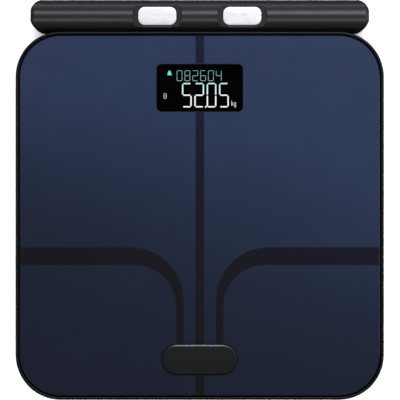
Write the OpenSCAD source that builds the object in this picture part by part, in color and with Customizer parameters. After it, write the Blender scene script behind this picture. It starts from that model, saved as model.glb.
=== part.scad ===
// Bathroom scale with glass foot electrodes and a pull-out handle bar docked along its rear edge.
// Millimetres, +Z up. The origin is on the floor, at the centre of the overall outline.
// +X is the user's right and +Y points from the heels to the toes and on to the handle.

/* [Platform] */
// Side of the square platform
platform_w = 300; // [290:1:310]
// Corner radius of the platform in plan
platform_r = 36.8; // [32:0.2:40]
// Height of the flat underside above the floor
underside_z = 6; // [5.5:0.1:6.5]
// Height of the top of the glass
glass_top = 28; // [28:0.1:29]
// Thickness of the glass
glass_t = 5; // [4.5:0.1:5]
// Width of the rim seen round the glass
rim_w = 3.3; // [3.2:0.1:4]

/* [Electrode film] */
// Width of the bare line between the left and right zones
centre_gap = 6.8; // [4:0.2:8]
// Distance from the platform's centre to the toe edge of the side bands
band_front = 25.75; // [20:0.25:30]
// Width of the bare side bands
band_w = 14.4; // [10:0.2:16]
// Distance from the centre line to the inner edge of the bare strips
strip_in = 13.2; // [12:0.2:15]
// Width of the bare strips beside the centre line
strip_w = 6; // [4:0.2:7]
// Radius of the bend on the toe side of the bands
bend_toe_r = 43; // [38:1:46]
// Radius of the bend on the heel side of the bands
bend_heel_r = 34; // [30:1:36]

/* [Contact cap] */
// Length of the raised cap where the four zones meet
cap_l = 60.6; // [58:0.2:64]
// Width of the cap
cap_w = 24; // [22:0.2:26]
// Distance from the platform's centre to the cap's centre
cap_back = 117; // [112:0.2:120]

/* [Display] */
// Width of the display window
window_w = 70.3; // [64:0.1:72]
// Depth of the display window
window_d = 38.7; // [34:0.1:40]
// Distance from the platform's centre to the window's centre
window_fwd = 104; // [102:0.1:106]

/* [Handle] */
// Length of the handle bar
handle_l = 275.8; // [268:0.2:282]
// Diameter of the handle bar
handle_d = 27.8; // [27:0.1:28.4]
// Height of the handle's axis above the floor
handle_z = 16.5; // [16.2:0.1:16.8]
// How far the handle sits into the groove of the rear wall
nest = 1.3; // [0.8:0.1:1.5]
// Distance of each thumb plate from the middle of the bar
thumb_x = 34.6; // [32:0.2:40]
// Length of a thumb plate
thumb_l = 31.4; // [28:0.2:34]
// Length of bar covered by one finger plate
finger_l = 76; // [60:1:80]

/* [Lead and reel] */
// Diameter of the handle's lead
lead_d = 2.6; // [2.2:0.1:2.6]
// Radius of the innermost turn on the spool
core_turn_r = 16.4; // [16:0.1:16.6]
// Step from one turn to the next
turn_step = 2.8; // [2.7:0.1:2.8]

/* [Feet] */
// Distance from the platform's sides to each foot's centre
foot_inset = 38; // [37:0.5:38.5]
// Radius of the rubber sole
sole_r = 18; // [14:0.5:19]

/* [Hidden] */
$fn = 64;

// Corner name, side along X and side along Y
CORNERS = [
  ["front_left", -1, -1],
  ["front_right", 1, -1],
  ["rear_left", -1, 1],
  ["rear_right", 1, 1]
];

// Places along Y. The handle's front sits inside the platform's rear edge by the nest.
overall_d = platform_w + handle_d - nest;
front_y = -overall_d / 2;
rear_y = front_y + platform_w;
mid_y = front_y + platform_w / 2;
handle_y = rear_y - nest + handle_d / 2;

// Heights of the stack, from the glass down to the base plate
glass_z = glass_top - glass_t;
print_t = 0.15;
print_z = glass_z - print_t;
tape_t = 0.4;
ledge_top = print_z - tape_t;
ledge_t = 2;
plate_t = 2.2;
plate_top = underside_z + plate_t;
film_t = 0.15;
film_top = glass_top + film_t;

// Rim and tray walls, measured inward from the platform's outline
wall_t = 2.6;
rim_top = glass_top - 0.4;
rim_z = plate_top + 0.2;
ledge_w = 10;
dock_wall_t = 4.6;
lip_out = 3;
lip_t = 2;
lip_top = plate_top + 3.8;
post_r = 3.4;
post_inset = 6.6;
screw_x = 60;
screw_side_y = 62;
screw_r = 1.25;
screw_head_r = 3;
screw_head_t = 1.2;

// Distance that swept profiles keep from the centres of their corner arcs
core_in = 1;

// Glass and film outlines
glass_w = platform_w - 2 * rim_w;
glass_r = platform_r - rim_w;
glass_chamfer = 0.6;
film_w = glass_w - 2 * glass_chamfer - 0.2;
film_r = glass_r - glass_chamfer - 0.1;
window_r = 4;

// Contacts under the cap
cap_y = mid_y - cap_back;
cap_t = 1.6;
cap_wall = 2;
cap_edge_r = 0.7;
gasket_t = 0.2;
gasket_out = 0.8;
cap_z = film_top + gasket_t;
pin_r = 1.5;
pin_hole_r = 1.7;
pin_head_r = 3;
pin_head_t = 0.6;
pin_toe_x = 8.35;
pin_heel_x = 25;
block_l = 60;
block_w = 14;
block_t = 6;
strip_end = cap_back + 4.7;
strip_close = strip_end + 4;

// Display stack
window_y = mid_y + window_fwd;
lcd_w = 75;
lcd_d = 43.4;
lcd_t = 2.2;
lcd_z = print_z - 0.25 - lcd_t;
backlight_t = 3;
holder_w = 78;
holder_d = 46.4;
holder_floor = 1.2;
holder_z = lcd_z - backlight_t - holder_floor;
holder_gap = 0.1;

// Main board and the button below it
board_y = mid_y + 49;
board_w = 56;
board_d = 40;
board_t = 1.6;
board_z = 14;
button_x = 18;
button_y = board_y - 8;
button_r = 4.4;
button_stem_r = 1.9;
button_gap = 0.3;

// Battery box, with its cells along X
battery_x = -62;
battery_y = mid_y + 34;
cell_r = 5.2;
cell_l = 43.5;
cell_pitch = 11.2;
cell_z = plate_top + 6.2;
box_w = 50.5;
box_d = 4 * cell_pitch + 0.8;
box_wall = 1.6;
box_top = cell_z + cell_r + 2.4;
door_w = 58;
door_d = 50;
door_t = 1.9;
door_gap = 0.3;
hinge_r = door_t / 2;
hinge_y = battery_y + door_d / 2 - hinge_r;
hinge_z = underside_z + hinge_r;
hinge_pin_r = 0.6;
hinge_bore_r = 0.65;

// Feet and load cells
foot_x = platform_w / 2 - foot_inset;
foot_y = platform_w / 2 - foot_inset;
sole_t = 2.4;
foot_cap_r = 20;
foot_hole_r = 21.5;
cell_plate_w = 34;
cell_plate_t = 2;
cell_plate_z = plate_top + 2.8;
bracket_w = 38;
bracket_r = 4;
pillar_r = 6;

// Lead reel. The last turn lies level with the handle's axis and leaves along -X.
reel_x = 66;
outer_turn_r = core_turn_r + 2 * turn_step;
run_y = rear_y - 19.75;
reel_y = run_y - outer_turn_r;
spool_r = 24.8;
core_r = core_turn_r - lead_d / 2 - 0.1;
core_wall = 1.3;
spool_z = handle_z - 5.3;
spool_top = handle_z + 5.1;
flange_t = 1;
web_t = 2;
axle_r = 2;
axle_bore_r = 2.05;
arbor_r = 4;
housing_r = 25.3;
housing_wall = 1;
housing_top = spool_top + 0.3;
cover_t = 0.8;
spring_turns = 5;
spring_t = 0.25;
last_turn_start = -200;

// Guide pulley, which turns the lead from -X to +Y
bend_r = 6.5;
pulley_x = bend_r;
pulley_y = run_y + bend_r;
pulley_r = 7.1;
pulley_h = 5.2;
pulley_groove_r = 1.5;
pulley_pin_r = 1.5;
pulley_bore_r = 1.55;
pulley_boss_r = 3.4;

// Gland in the rear wall, and the lead's end in the handle
groove_r = handle_d / 2 + 0.3;
groove_y = handle_y - groove_r;
dock_y = rear_y - dock_wall_t;
gland_bore_r = lead_d / 2 + 0.4;
gland_r = 3.2;
gland_flange_r = 3.85;
gland_flange_t = 1.2;
lead_split_y = dock_y - gland_flange_t - 0.6;
handle_face_y = handle_y - handle_d / 2;
relief_r = 2.6;
relief_l = 8;

// Docking magnets
magnet_x = 104;
magnet_r = 3.2;
magnet_t = 3;
magnet_cup_r = 4.4;

// Handle shells. The bar's ends are rounded in plan, more in front than behind, and their edges
// are filleted. The plan that trims them reaches a little past the bar on every side, so that it
// cuts only the corners. Each thumb plate lies in a flat scoop, with a gap round it and a lip in front of it.
handle_r = handle_d / 2;
end_fillet = 3.2;
end_rear_r = 13.8;
end_front_r = 15;
end_over = 0.6;
shell_t = 2;
facet_h = 11;
thumb_w = 15;
thumb_r = 5.6;
thumb_t = 1.2;
thumb_gap = 0.6;
thumb_stem_r = 0.9;
lip_l = 24;
lip_drop = 0.3;
lip_tilt = 12;
scoop_l = thumb_l + 9;
scoop_w = 24;
scoop_r = 11;
tray_h = 1.5;
finger_x = 80;
finger_arc = 100;
finger_t = 0.8;
handle_screw_x = [16, 125];
handle_boss_r = 4;
handle_board_l = 56;
handle_board_w = 12;
handle_board_t = 1.2;

// ---------------------------------------------------------------- shared shapes

// Rounded rectangle made of true arcs
module round_rect(w, d, r) {
  if (d > 2 * r)
    square([w, d - 2 * r], center = true);
  if (w > 2 * r)
    square([w - 2 * r, d], center = true);
  for (x = [-1, 1], y = [-1, 1])
    translate([x * (w / 2 - r), y * (d / 2 - r)])
      circle(r);
}

module slab(w, d, r, z, h) {
  translate([0, 0, z])
    linear_extrude(h)
      round_rect(w, d, r);
}

module box(w, d, z, h) {
  translate([-w / 2, -d / 2, z])
    cube([w, d, h]);
}

module rod(r, z, h) {
  translate([0, 0, z])
    cylinder(r = r, h = h);
}

module tube(r_out, r_in, z, h) {
  translate([0, 0, z])
    linear_extrude(h)
      difference() {
        circle(r_out);
        circle(r_in);
      }
}

module rod_x(r, l) {
  rotate([0, 90, 0])
    cylinder(r = r, h = l, center = true);
}

module torus(ring_r, r) {
  rotate_extrude()
    translate([ring_r, 0])
      circle(r);
}

// Sweeps a profile round a rounded rectangle. Its x is the distance outward from the outline
// and its y is the height.
module around(w, d, r) {
  for (i = [0:3]) {
    across = i % 2 == 0 ? w : d;
    along = i % 2 == 0 ? d : w;
    rotate([0, 0, 90 * i]) {
      translate([across / 2 - r, along / 2 - r, 0])
        rotate_extrude(angle = 90)
          translate([r, 0])
            children();
      if (along > 2 * r)
        translate([across / 2, along / 2 - r, 0])
          rotate([90, 0, 0])
            linear_extrude(along - 2 * r)
              children();
    }
  }
}

// Middle of a solid whose sides are swept by around(). Their profiles start core_in from the
// corner arcs' centres, and the middle laps over them.
module core_box(w, d, r, z, h) {
  lap = 0.2;
  box(w - 2 * (r - core_in - lap), d - 2 * (r - core_in - lap), z, h);
}

// Slab with its edges broken below by c_low and above by c_high
module edged_slab(w, d, r, z, h, c_low, c_high) {
  around(w, d, r)
    polygon([
      [core_in - r, z], [-c_low, z], [0, z + c_low],
      [0, z + h - c_high], [-c_high, z + h], [core_in - r, z + h]
    ]);
  core_box(w, d, r, z, h);
}

function unit(v) = v / norm(v);

// Route with its corners cut, which rounds its bends
function cut_corners(p) = concat(
  [p[0]],
  [for (i = [0:len(p) - 2], f = [0.25, 0.75]) p[i] * (1 - f) + p[i + 1] * f],
  [p[len(p) - 1]]
);

function heading(p, i) = unit(p[min(i + 1, len(p) - 1)] - p[max(i - 1, 0)]);

// Direction across the route at point i, carried along without twist
function across(p, i) =
  i == 0
    ? unit(cross(heading(p, 0), [0.1, 0.2, 1]))
    : let (t = heading(p, i), u = across(p, i - 1)) unit(u - t * (t * u));

// Round tube along a route
module sweep(p, r, sides) {
  last = len(p) - 1;
  rings = [
    for (i = [0:last])
      let (u = across(p, i), v = cross(heading(p, i), u))
        for (k = [0:sides - 1])
          p[i] + r * (cos(360 * k / sides) * u + sin(360 * k / sides) * v)
  ];
  walls = [
    for (i = [0:last - 1], k = [0:sides - 1])
      let (a = i * sides + k, b = i * sides + (k + 1) % sides)
        [a, a + sides, b + sides, b]
  ];
  polyhedron(
    rings,
    concat(
      walls,
      [[for (k = [0:sides - 1]) k]],
      [[for (k = [sides - 1:-1:0]) last * sides + k]]
    )
  );
}

module at_platform() {
  translate([0, mid_y, 0])
    children();
}

module at_feet() {
  for (c = CORNERS)
    at_corner(c)
      children();
}

module at_corner(c) {
  translate([c[1] * foot_x, mid_y + c[2] * foot_y, 0])
    children();
}

module at_base_screws() {
  edge = platform_w / 2 - post_inset;
  for (x = [-screw_x, screw_x], y = [-edge, edge])
    translate([x, mid_y + y, 0])
      children();
  for (x = [-edge, edge], y = [-screw_side_y, screw_side_y])
    translate([x, mid_y + y, 0])
      children();
}

module at_contact_pins() {
  for (x = [-pin_heel_x, -pin_toe_x, pin_toe_x, pin_heel_x])
    translate([x, cap_y, 0])
      children();
}

module at_handle() {
  translate([0, handle_y, handle_z])
    children();
}

// ---------------------------------------------------------------- glass and electrodes

module glass_platform() {
  color([0.10, 0.13, 0.22])
    difference() {
      at_platform()
        edged_slab(glass_w, glass_w, glass_r, glass_z, glass_t, glass_chamfer, glass_chamfer);
      at_contact_pins()
        rod(pin_hole_r, glass_z - 1, glass_t + 2);
    }
}

// Right half of the film's outline, without the centre line
module film_half() {
  intersection() {
    round_rect(film_w, film_w, film_r);
    translate([centre_gap / 2, -film_w])
      square([film_w, 2 * film_w]);
  }
}

// Everything on the toe side of the band, strip included
module toe_region() {
  bend_x = strip_in + bend_toe_r;
  bend_y = -band_front - bend_toe_r;
  translate([-film_w, -band_front])
    square([2 * film_w, film_w]);
  translate([-strip_in, -strip_end])
    square([2 * strip_in, strip_end]);
  difference() {
    translate([0, bend_y])
      square([bend_x, bend_toe_r]);
    translate([bend_x, bend_y])
      circle(bend_toe_r);
  }
}

// Everything on the heel side of the band and beside the strip
module heel_region() {
  strip_out = strip_in + strip_w;
  band_back = band_front + band_w;
  bend_x = strip_out + bend_heel_r;
  bend_y = -band_back - bend_heel_r;
  translate([bend_x, -film_w])
    square([film_w, film_w - band_back]);
  translate([strip_out, -film_w])
    square([bend_heel_r + 1, film_w + bend_y]);
  translate([0, -film_w])
    square([strip_out + 1, film_w - strip_close]);
  intersection() {
    translate([bend_x, bend_y])
      circle(bend_heel_r);
    translate([strip_out, bend_y])
      square(bend_heel_r);
  }
}

module toe_electrode(side) {
  color([0.20, 0.24, 0.36])
    difference() {
      at_platform()
        translate([0, 0, glass_top])
          linear_extrude(film_t)
            mirror([side < 0 ? 1 : 0, 0])
              intersection() {
                film_half();
                toe_region();
              }
      translate([0, window_y, 0])
        slab(window_w, window_d, window_r, glass_top - 1, 2);
      at_contact_pins()
        rod(pin_hole_r, glass_top - 1, 2);
    }
}

module heel_electrode(side) {
  color([0.14, 0.16, 0.26])
    difference() {
      at_platform()
        translate([0, 0, glass_top])
          linear_extrude(film_t)
            mirror([side < 0 ? 1 : 0, 0])
              intersection() {
                film_half();
                heel_region();
              }
      at_contact_pins()
        rod(pin_hole_r, glass_top - 1, 2);
    }
}

module back_print() {
  color([0.05, 0.05, 0.08])
    difference() {
      at_platform()
        slab(glass_w - 1, glass_w - 1, glass_r - 0.5, print_z, print_t);
      translate([0, window_y, 0])
        slab(window_w, window_d, window_r, print_z - 1, 3);
      at_contact_pins()
        rod(pin_hole_r, print_z - 1, 3);
    }
}

module glass_tape() {
  color([0.9, 0.9, 0.88])
    at_platform()
      around(platform_w, platform_w, platform_r)
        translate([-ledge_w + 0.5, ledge_top])
          square([ledge_w - rim_w - 1, tape_t]);
}

// ---------------------------------------------------------------- rim and base

module rim_frame() {
  color([0.07, 0.07, 0.08])
    difference() {
      union() {
        at_platform()
          around(platform_w, platform_w, platform_r)
            rim_profile();
        dock_wall();
        at_base_screws()
          rod(post_r - 0.2, lip_top, ledge_top - lip_top - 0.5);
        magnet_cups();
      }
      at_handle()
        rod_x(groove_r, handle_l + 8);
      at_base_screws()
        rod(screw_r, lip_top - 1, 8);
      gland_hole();
    }
}

// Wall with a rounded lip, and the ledge that carries the glass
module rim_profile() {
  lip_r = wall_t / 2;
  translate([-wall_t, rim_z])
    square([wall_t, rim_top - lip_r - rim_z]);
  translate([-lip_r, rim_top - lip_r])
    circle(lip_r);
  translate([-ledge_w, ledge_top - ledge_t])
    square([ledge_w - wall_t / 2, ledge_t]);
}

// Thicker stretch of the rear wall behind the handle's groove
module dock_wall() {
  wall_l = 2 * (platform_w / 2 - platform_r);
  translate([-wall_l / 2, dock_y, lip_top])
    cube([wall_l, dock_wall_t - wall_t / 2, ledge_top - lip_top - 0.5]);
}

module magnet_cups() {
  for (x = [-magnet_x, magnet_x])
    translate([x, dock_y - magnet_t, handle_z])
      rotate([-90, 0, 0])
        tube(magnet_cup_r, magnet_r + 0.1, 0, magnet_t + 1);
}

module gland_hole() {
  translate([0, dock_y - 1, handle_z])
    rotate([-90, 0, 0])
      cylinder(r = gland_r, h = dock_wall_t + 2);
}

module base_tray() {
  color([0.11, 0.11, 0.12])
    difference() {
      union() {
        at_platform()
          edged_slab(platform_w, platform_w, platform_r, underside_z, plate_t, 1.2, 0);
        at_platform()
          around(platform_w, platform_w, platform_r)
            translate([-lip_out - lip_t, plate_top - 0.2])
              square([lip_t, lip_top - plate_top + 0.2]);
        tray_posts();
        tray_ribs();
        battery_box();
        foot_rings();
      }
      at_feet()
        rod(foot_hole_r, underside_z - 1, 6);
      at_base_screws()
        counterbore();
      battery_hollow();
      button_hole();
      underside_grooves();
    }
}

// Shallow lines pressed into the underside: a border, a ring round each foot and a plain panel
module underside_grooves() {
  depth = 0.4;
  border_in = 12;
  border_w = 1.2;
  ring_r = 22.6;
  panel_x = 62;
  panel_l = 64;
  panel_w = 36;
  side = platform_w - 2 * border_in;
  r = platform_r - border_in;
  at_platform()
    difference() {
      slab(side, side, r, underside_z - 1, depth + 1);
      slab(side - 2 * border_w, side - 2 * border_w, r - border_w, underside_z - 2, depth + 3);
    }
  at_feet()
    tube(ring_r + border_w, ring_r, underside_z - 1, depth + 1);
  translate([panel_x, battery_y, 0])
    slab(panel_l, panel_w, 3, underside_z - 1, depth + 1);
}

// Walls round the foot wells, cut away where the reel's housing stands
module foot_rings() {
  difference() {
    at_feet()
      tube(foot_hole_r + 1.8, foot_hole_r, underside_z + 0.4, plate_t + 1.9);
    at_reel()
      rod(housing_r + housing_wall + 0.3, plate_top, 10);
  }
}

module counterbore() {
  rod(screw_r + 0.2, underside_z - 1, 10);
  rod(screw_head_r + 0.3, underside_z - 1, screw_head_t + 1.3);
}

// Bosses for the screws, the board, the display, the reel and the pulley
module tray_posts() {
  at_base_screws()
    rod(post_r, plate_top - 0.2, lip_top - plate_top + 0.2);
  for (x = [-1, 1], y = [-1, 1])
    translate([x * (board_w / 2 - 4), board_y + y * (board_d / 2 - 4), 0])
      rod(2.6, plate_top - 0.2, board_z - plate_top + 0.2);
  for (x = [-1, 1], y = [-1, 1])
    translate([x * (holder_w / 2 - 5), window_y + y * (holder_d / 2 - 5), 0])
      rod(3, plate_top - 0.2, holder_z - plate_top + 0.2);
  translate([pulley_x, pulley_y, 0])
    difference() {
      rod(pulley_boss_r, plate_top - 0.2, handle_z - pulley_h / 2 - 0.3 - plate_top + 0.2);
      rod(pulley_pin_r, plate_top + 0.5, 10);
    }
}

// Stiffening ribs across the heel half
module tray_ribs() {
  rib_t = 1.6;
  rib_h = 3;
  for (y = [-100, -70, -40, -10])
    translate([-85, mid_y + y - rib_t / 2, plate_top - 0.2])
      cube([170, rib_t, rib_h + 0.2]);
  for (x = [-85, -42, 0, 42, 85])
    translate([x - rib_t / 2, mid_y - 100, plate_top - 0.2])
      cube([rib_t, 90, rib_h + 0.2]);
}

module battery_box() {
  translate([battery_x, battery_y, 0]) {
    box(box_w + 2 * box_wall, box_d + 2 * box_wall, plate_top - 0.2, box_top - plate_top + 0.2);
    box(door_w + 4, door_d + 4, plate_top - 0.2, 1.4);
  }
}

module battery_hollow() {
  translate([battery_x, battery_y, 0]) {
    box(box_w, box_d, plate_top - 1, box_top - box_wall - plate_top + 1);
    box(door_w + 2 * door_gap, door_d + 2 * door_gap, underside_z - 1, plate_t + 1);
  }
  translate([battery_x, hinge_y, hinge_z])
    rod_x(hinge_bore_r, door_w + 5);
}

module button_hole() {
  translate([button_x, button_y, 0])
    rod(button_r + button_gap, underside_z - 1, plate_t + 2);
}

module base_screws() {
  color([0.55, 0.56, 0.58])
    at_base_screws()
      difference() {
        union() {
          rod(screw_head_r, underside_z + 0.3, screw_head_t);
          rod(screw_r, underside_z + 0.3, 12);
        }
        cross_slot(underside_z + 0.3);
      }
}

// Cross recess cut upward into a screw head that faces down
module cross_slot(z) {
  slot_l = 3.2;
  slot_w = 0.7;
  slot_h = 0.7;
  box(slot_l, slot_w, z - 1, slot_h + 1);
  box(slot_w, slot_l, z - 1, slot_h + 1);
}

// ---------------------------------------------------------------- contact cap

module contact_cap() {
  color([0.14, 0.14, 0.16])
    translate([0, cap_y, 0])
      difference() {
        union() {
          around(cap_l, cap_w, cap_w / 2)
            cap_profile();
          core_box(cap_l, cap_w, cap_w / 2, cap_z, cap_t);
        }
        slab(cap_l - 2 * cap_wall, cap_w - 2 * cap_wall, cap_w / 2 - cap_wall,
             cap_z - 1, pin_head_t + 1.2);
      }
}

// Half section of the cap, with its top edge rounded
module cap_profile() {
  reach = cap_w / 2 - core_in;
  translate([-reach, cap_z])
    square([reach, cap_t - cap_edge_r]);
  translate([-reach, cap_z])
    square([reach - cap_edge_r, cap_t]);
  translate([-cap_edge_r, cap_z + cap_t - cap_edge_r])
    circle(cap_edge_r);
}

module contact_gasket() {
  color([0.2, 0.2, 0.2])
    translate([0, cap_y, film_top])
      linear_extrude(gasket_t)
        difference() {
          round_rect(cap_l + 2 * gasket_out, cap_w + 2 * gasket_out, cap_w / 2 + gasket_out);
          round_rect(cap_l - 2 * cap_wall, cap_w - 2 * cap_wall, cap_w / 2 - cap_wall);
        }
}

module contact_block() {
  color([0.85, 0.84, 0.78])
    difference() {
      translate([0, cap_y, 0])
        slab(block_l, block_w, 3, print_z - block_t, block_t);
      at_contact_pins()
        rod(pin_r, print_z - block_t - 1, block_t + 2);
    }
}

module contact_pins() {
  color([0.80, 0.66, 0.36])
    at_contact_pins()
      union() {
        rod(pin_head_r, film_top, pin_head_t);
        rod(pin_r, print_z - block_t - 1.5, film_top - print_z + block_t + 1.5);
      }
}

// ---------------------------------------------------------------- display and electronics

module display_lcd() {
  color([0.04, 0.05, 0.06])
    translate([0, window_y, 0])
      box(lcd_w, lcd_d, lcd_z, lcd_t);
}

module display_backlight() {
  color([0.93, 0.94, 0.95])
    translate([0, window_y, 0])
      box(lcd_w, lcd_d, lcd_z - backlight_t, backlight_t);
}

module display_holder() {
  color([0.9, 0.9, 0.9])
    translate([0, window_y, 0])
      difference() {
        slab(holder_w, holder_d, 1.5, holder_z, lcd_z + lcd_t - holder_z - 0.2);
        box(lcd_w + 2 * holder_gap, lcd_d + 2 * holder_gap, holder_z + holder_floor, 20);
      }
}

module main_board() {
  corner_r = 2;
  hole_r = 1.2;
  hole_in = 4;
  color([0.08, 0.30, 0.16])
    difference() {
      translate([0, board_y, 0])
        slab(board_w, board_d, corner_r, board_z, board_t);
      for (x = [-1, 1], y = [-1, 1])
        translate([x * (board_w / 2 - hole_in), board_y + y * (board_d / 2 - hole_in), 0])
          rod(hole_r, board_z - 1, board_t + 2);
    }
}

// Each part's centre on the board, then its width, depth and height
controller = [0, 0, 10, 10, 1.4];
converter = [-14, -4, 6, 9, 1.6];
radio_module = [17, 6, 12, 16, 1.8];
display_connector = [0, 15, 24, 4, 2.2];
lead_connectors = [for (x = [-18, -6, 6]) [x, -15, 9, 4.6, 4]];
capacitor_x = [-20, -16, -12];
capacitor_y = 7;
capacitor_r = 1.5;
capacitor_h = 3;

module board_parts() {
  top = board_z + board_t;
  color([0.12, 0.12, 0.13])
    translate([0, board_y, 0]) {
      for (p = concat([controller, converter, radio_module, display_connector], lead_connectors))
        translate([p[0], p[1], 0])
          box(p[2], p[3], top, p[4]);
      for (x = capacitor_x)
        translate([x, capacitor_y, 0])
          rod(capacitor_r, top, capacitor_h);
    }
}

module battery_cells() {
  nub_r = 1.9;
  nub_l = 0.9;
  color([0.75, 0.62, 0.35])
    for (i = [0:3])
      translate([battery_x, battery_y + (i - 1.5) * cell_pitch, cell_z])
        mirror([i % 2, 0, 0]) {
          rod_x(cell_r, cell_l);
          translate([cell_l / 2 + 0.4, 0, 0])
            rod_x(nub_r, nub_l);
        }
}

// Flat plates at the positive ends and three-turn coils at the negative ends
module battery_contacts() {
  plate_w = 8;
  plate_h = 8;
  coil_x = box_w / 2 - 0.8;
  color([0.82, 0.83, 0.85])
    for (i = [0:3])
      translate([battery_x, battery_y + (i - 1.5) * cell_pitch, cell_z])
        mirror([i % 2, 0, 0]) {
          translate([box_w / 2 - 0.4, -plate_w / 2, -plate_h / 2])
            cube([0.4, plate_w, plate_h]);
          translate([-box_w / 2, -plate_w / 2, -plate_h / 2])
            cube([0.4, plate_w, plate_h]);
          for (k = [0:2])
            translate([-coil_x + k, 0, 0])
              rotate([0, 90, 0])
                torus(3.6 - 0.6 * k, 0.3);
        }
}

// Flat door with a rolled hinge edge, end pins, a snap tongue and a finger dish
module battery_door() {
  tongue_w = 12;
  tongue_l = 9;
  slit = 0.8;
  ridge_l = 30;
  ridge_w = 1;
  ridge_h = 0.5;
  free_y = battery_y - door_d / 2;
  color([0.13, 0.13, 0.14])
    difference() {
      union() {
        translate([battery_x - door_w / 2, free_y, underside_z])
          cube([door_w, door_d - hinge_r, door_t]);
        for (i = [0:4])
          translate([battery_x, free_y + 16 + 3 * i, 0])
            box(ridge_l - 4 * i, ridge_w, underside_z - ridge_h, ridge_h + 0.2);
        translate([battery_x, hinge_y, hinge_z]) {
          rod_x(hinge_r, door_w);
          rod_x(hinge_pin_r, door_w + 4);
        }
      }
      for (s = [-1, 1])
        translate([battery_x + s * tongue_w / 2 - slit / 2, free_y - 1, underside_z - 1])
          cube([slit, tongue_l + 1, door_t + 2]);
      translate([battery_x, free_y + 4, underside_z - 6.4])
        rotate([0, 90, 0])
          cylinder(r = 7.2, h = tongue_w - 3, center = true);
    }
}

module unit_button() {
  stem_top = board_z - 1.8;
  color([0.75, 0.76, 0.78])
    translate([button_x, button_y, 0]) {
      rod(button_r, underside_z + 0.3, plate_t + 0.9);
      rod(button_r + 1.4, plate_top + 0.3, 0.8);
      rod(button_stem_r, plate_top + 0.3, stem_top - plate_top - 0.3);
    }
}

module button_switch() {
  body_z = board_z - 2.5;
  color([0.15, 0.15, 0.15])
    translate([button_x, button_y, 0])
      difference() {
        box(6.2, 6.2, body_z, 2.5);
        rod(button_stem_r + 0.3, body_z - 1, 2.8);
      }
}

// ---------------------------------------------------------------- feet and load cells

module cell_brackets() {
  color([0.88, 0.88, 0.86])
    at_feet()
      difference() {
        slab(bracket_w, bracket_w, bracket_r, cell_plate_z, print_z - cell_plate_z);
        slab(cell_plate_w + 0.2, cell_plate_w + 0.2, 3.1, cell_plate_z - 1, cell_plate_t + 1);
        slab(bracket_w - 8, bracket_w - 8, 3, cell_plate_z - 1, print_z - cell_plate_z - 1.4);
      }
}

// Half-bridge load cell: a steel frame with an inner tongue that the foot pushes on
module load_cell() {
  window = 24;
  tongue_w = 13;
  neck_w = 8;
  color([0.72, 0.73, 0.75]) {
    translate([0, 0, cell_plate_z])
      linear_extrude(cell_plate_t) {
        difference() {
          round_rect(cell_plate_w, cell_plate_w, 3);
          round_rect(window, window, 2);
        }
        square([tongue_w, tongue_w], center = true);
        translate([0, window / 4 + 1])
          square([neck_w, window / 2 + 1], center = true);
        translate([0, -window / 4 - 1])
          square([neck_w, window / 2 + 1], center = true);
      }
    translate([0, window / 2 - 3, cell_plate_z + cell_plate_t])
      slab(7, 5, 1.5, 0, 1.2);
  }
}

module foot_cap() {
  color([0.16, 0.16, 0.17]) {
    rotate_extrude()
      polygon([
        [0, sole_t], [foot_cap_r - 1.2, sole_t], [foot_cap_r, sole_t + 1.2],
        [foot_cap_r, sole_t + 4.4], [0, sole_t + 4.4]
      ]);
    rod(pillar_r, sole_t + 4, cell_plate_z - sole_t - 4);
  }
}

// Rubber sole with two rings of grip grooves
module foot_pad() {
  groove_w = 1.4;
  groove_h = 0.5;
  color([0.28, 0.28, 0.29])
    difference() {
      rod(sole_r, 0, sole_t);
      for (r = [6, 11])
        tube(r + groove_w, r, -1, groove_h + 1);
    }
}

// Routes of the right-hand load cells' leads, from the cell along the tray to the board
CELL_LEADS = [
  [
    [106, mid_y - 92, 16], [97, mid_y - 74, 12.2], [97, mid_y - 8, 12.2],
    [90, mid_y - 1, 12.2], [30, mid_y - 1, 12.2], [14, mid_y + 10, 15],
    [9, board_y - 26, 18], [9, board_y - 18, 19.4]
  ],
  [
    [106, mid_y + 92, 16], [93, mid_y + 74, 12.2], [93, mid_y + 9, 12.2],
    [88, mid_y + 4, 12.2], [36, mid_y + 4, 12.2], [20, mid_y + 14, 15],
    [15, board_y - 26, 18], [15, board_y - 18, 19.4]
  ]
];

module load_cell_leads() {
  lead_r = 0.8;
  color([0.8, 0.8, 0.8])
    for (route = CELL_LEADS, s = [-1, 1])
      sweep(cut_corners(cut_corners([for (p = route) [s * p[0], p[1], p[2]]])), lead_r, 8);
}

// ---------------------------------------------------------------- lead reel

module at_reel() {
  translate([reel_x, reel_y, 0])
    children();
}

module reel_base() {
  floor_t = 1.4;
  exit_w = 5;
  color([0.80, 0.80, 0.78])
    at_reel()
      difference() {
        union() {
          rod(housing_r + housing_wall, plate_top, floor_t);
          tube(housing_r + housing_wall, housing_r, plate_top, housing_top - plate_top);
          rod(arbor_r, plate_top, spool_top - web_t - 0.3 - plate_top);
        }
        rod(axle_r, plate_top + 1, 20);
        translate([-housing_r - 3, outer_turn_r - exit_w / 2, handle_z - exit_w / 2])
          cube([housing_r, exit_w, exit_w]);
      }
}

module reel_axle() {
  color([0.8, 0.8, 0.82])
    at_reel()
      rod(axle_r, plate_top + 1, housing_top + cover_t - plate_top - 1);
}

// Open-bottomed drum: two flanges, a core and a web that runs on the axle
module reel_spool() {
  color([0.92, 0.92, 0.90])
    at_reel() {
      tube(spool_r, core_r - core_wall, spool_z, flange_t);
      tube(core_r, core_r - core_wall, spool_z, spool_top - spool_z);
      tube(core_r, axle_bore_r, spool_top - web_t, web_t);
      tube(spool_r, core_r - core_wall, spool_top - flange_t, flange_t);
    }
}

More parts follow.
